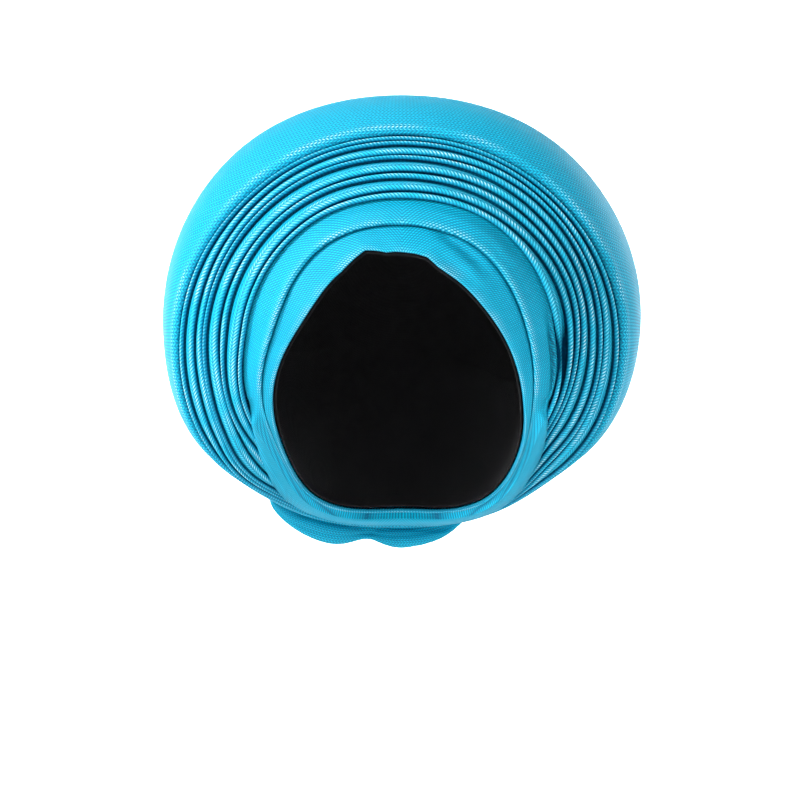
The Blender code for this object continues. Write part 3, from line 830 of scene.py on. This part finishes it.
def weave_height(tree, weave):
    """Rows of slanted stitches that lean the other way in every second row, and their coordinates."""
    coordinates = tree.nodes.new("ShaderNodeUVMap")
    coordinates.uv_map = "cloth"
    parts = tree.nodes.new("ShaderNodeSeparateXYZ")
    tree.links.new(coordinates.outputs[0], parts.inputs[0])
    across = math_node(tree, "DIVIDE", parts.outputs[1], weave["row"])
    within = math_node(tree, "FRACT", across)
    lean = math_node(tree, "MULTIPLY", math_node(tree, "PINGPONG", across, 1.0), weave["lean"])
    along = math_node(tree, "DIVIDE", parts.outputs[0], weave["stitch"])
    phase = math_node(tree, "ADD", along, lean)
    wave = math_node(tree, "SINE", math_node(tree, "MULTIPLY", phase, math.tau))
    stitches = math_node(tree, "MULTIPLY_ADD", wave, 0.5, 0.5)
    stitches = math_node(tree, "MULTIPLY_ADD", stitches, STITCH_CONTRAST, 1 - STITCH_CONTRAST)
    groove = math_node(tree, "SINE", math_node(tree, "MULTIPLY", within, math.pi))
    rows = math_node(tree, "POWER", groove, ROW_ROUNDNESS)
    return math_node(tree, "MULTIPLY", rows, stitches), coordinates


def braided_cloth(name, weave):
    """Turquoise cloth in rows of slanted stitches, with painted shade in the weave's hollows, a painted
    highlight and painted glints along the slightly glossier ridges, and painted shade in the grooves.
    """
    material, tree, shader = new_material(name)
    height, coordinates = weave_height(tree, weave)
    painted_light = tree.nodes.new("ShaderNodeAttribute")
    painted_light.attribute_name = "painted_light"
    patches = tree.nodes.new("ShaderNodeTexNoise")
    patches.inputs["Scale"].default_value = GLINT_PATCHES["scale"]
    patches.inputs["Detail"].default_value = GLINT_PATCHES["detail"]
    tree.links.new(coordinates.outputs[0], patches.inputs["Vector"])
    crest = math_node(tree, "POWER", height, CREST_SHARPNESS)
    raised = math_node(tree, "MAXIMUM", painted_light.outputs["Fac"], 0.0)
    on_ridge = math_node(tree, "MULTIPLY", crest, raised)
    # Painted shade: below 0 the colour goes towards SHADE and the specular is taken out
    in_groove = math_node(tree, "MULTIPLY", painted_light.outputs["Fac"], -GROOVE_SHADE, clamped=True)
    contrast, level = GLINT_PATCHES["contrast"], GLINT_PATCHES["level"]
    # Patches where the painted glints show
    glint_patch_mask = math_node(tree, "MULTIPLY_ADD", patches.outputs[0], contrast, level, clamped=True)
    sparks = math_node(tree, "MULTIPLY", math_node(tree, "POWER", height, GLINT_SHARPNESS), raised)
    painted_glints = math_node(tree, "MULTIPLY", sparks, glint_patch_mask)
    # Painted shade: the weave's hollows are painted darker than its crests, which have the cloth's own
    # turquoise
    colour = mixed(tree, height, WEAVE_HOLLOW_SHADE, TURQUOISE)
    # Painted highlight: the ridges' crests are painted paler
    colour = mixed(tree, math_node(tree, "MULTIPLY", on_ridge, RIDGE_HIGHLIGHT), colour, RIDGE_HIGHLIGHT_TURQUOISE)
    # Painted glints on the ridges' crests
    colour = mixed(tree, math_node(tree, "MULTIPLY", painted_glints, GLINT_STRENGTH), colour, GLINT)
    # Painted shade in the grooves and the pocket
    colour = mixed(tree, in_groove, colour, SHADE)
    roughness = math_node(tree, "MULTIPLY_ADD", on_ridge, -RIDGE_SMOOTHNESS, ROUGHNESS)
    specular = math_node(tree, "MULTIPLY_ADD", in_groove, -SPECULAR, SPECULAR)
    tree.links.new(colour, shader.inputs["Base Color"])
    tree.links.new(roughness, shader.inputs["Roughness"])
    tree.links.new(specular, shader.inputs["Specular IOR Level"])
    add_bump(tree, shader, height, STITCH_BUMP)
    return material


def black_jersey():
    """Thin matt black jersey."""
    material, tree, shader = new_material("black_jersey")
    shader.inputs["Base Color"].default_value = (*BLACK, 1)
    shader.inputs["Roughness"].default_value = MATT
    shader.inputs["Specular IOR Level"].default_value = SPECULAR
    height, _ = weave_height(tree, JERSEY)
    add_bump(tree, shader, height, JERSEY_BUMP)
    return material


def dress(node, piece, material):
    """Gives a piece its material and puts it in its node's place."""
    piece.data.materials.append(material)
    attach(piece, "root")
    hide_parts(node)


def build_cloth():
    """All the pieces, each with its material, its node and what it is made of."""
    cloths = {name: braided_cloth(name + "_cloth", weave) for name, weave in WEAVES.items()}
    pieces = {"brow_wrap": brow_wrap(), "outer_wrap": outer_wrap(), "nape_knot": nape_knot()}
    for k, name in enumerate(PLEATS):
        pieces[name] = pleat(k)
    weave_of = {"brow_wrap": "brow", **dict.fromkeys(PLEATS, "pleats")}
    for node, piece in pieces.items():
        dress(node, piece, cloths[weave_of.get(node, "outer")])
    liner = liner_cap()
    dress("liner_cap", liner, black_jersey())


def build_backdrop():
    """A pale floor that curves up into a round wall."""
    material, _, shader = new_material("backdrop")
    shader.inputs["Base Color"].default_value = (*BACKDROP, 1)
    shader.inputs["Roughness"].default_value = MATT
    turn = np.linspace(0, 0.5, COVE_STEPS) * math.pi
    radius = np.concatenate([FLOOR_RINGS, COVE_RADIUS - COVE_CURVE * (1 - np.sin(turn)), [COVE_RADIUS]])
    height = np.concatenate([[0, 0], COVE_CURVE * (1 - np.cos(turn)), [COVE_HEIGHT]]) - FLOOR_BELOW
    around = np.linspace(0, math.tau, COVE_SIDES, endpoint=False)
    x, y = np.outer(np.cos(around), radius), np.outer(np.sin(around), radius)
    points = np.stack([x, y, np.tile(height, (COVE_SIDES, 1))], axis=-1)
    columns = len(radius)
    faces = []
    for row in range(COVE_SIDES):
        for column in range(columns - 1):
            here, there = row * columns + column, (row + 1) % COVE_SIDES * columns + column
            faces.append((here, here + 1, there + 1, there))
    faces.append(tuple(row * columns for row in range(COVE_SIDES)))
    data = bpy.data.meshes.new("floor")
    data.from_pydata(points.reshape(-1, 3).tolist(), [], faces)
    data.shade_smooth()
    data.materials.append(material)
    placed("floor", data)


def aim(light, place, target):
    lamp = placed(light.name, light)
    lamp.location = place
    lamp.rotation_euler = (Vector(target) - Vector(place)).to_track_quat("-Z", "Y").to_euler()


def light_studio():
    """Soft light from the upper left, a little from the top and the back, and a pale wall behind."""
    world = bpy.data.worlds.new("studio")
    world.use_nodes = True
    background = world.node_tree.nodes["Background"]
    background.inputs["Color"].default_value = (*SKY, 1)
    background.inputs["Strength"].default_value = SKY_STRENGTH
    bpy.context.scene.world = world
    for row in AREA_LIGHTS:
        light = bpy.data.lights.new(row["name"], "AREA")
        light.shape = "DISK"
        light.size = row["size"]
        light.energy = row["power"]
        aim(light, row["place"], LIT_MIDDLE)
    spot = bpy.data.lights.new("wall", "SPOT")
    spot.spot_size = math.radians(WALL_LIGHT["cone"])
    spot.spot_blend = WALL_LIGHT["blend"]
    spot.shadow_soft_size = WALL_LIGHT["size"]
    spot.energy = WALL_LIGHT["power"]
    aim(spot, WALL_LIGHT["place"], WALL_LIGHT["target"])


def set_camera():
    """The camera at the photograph's angle, and plain colours."""
    camera = bpy.data.cameras.new("camera")
    camera.sensor_width = CAMERA_SENSOR
    camera.lens = CAMERA_SENSOR * CAMERA_DISTANCE / FRAME_WIDTH
    eye = placed("camera", camera)
    eye.location = (CAMERA_SIDE, -CAMERA_DISTANCE, CAMERA_HEIGHT)
    eye.rotation_euler = (math.pi / 2, 0, 0)
    bpy.context.scene.camera = eye
    bpy.context.scene.view_settings.view_transform = "Standard"


build_cloth()
build_backdrop()
light_studio()
set_camera()
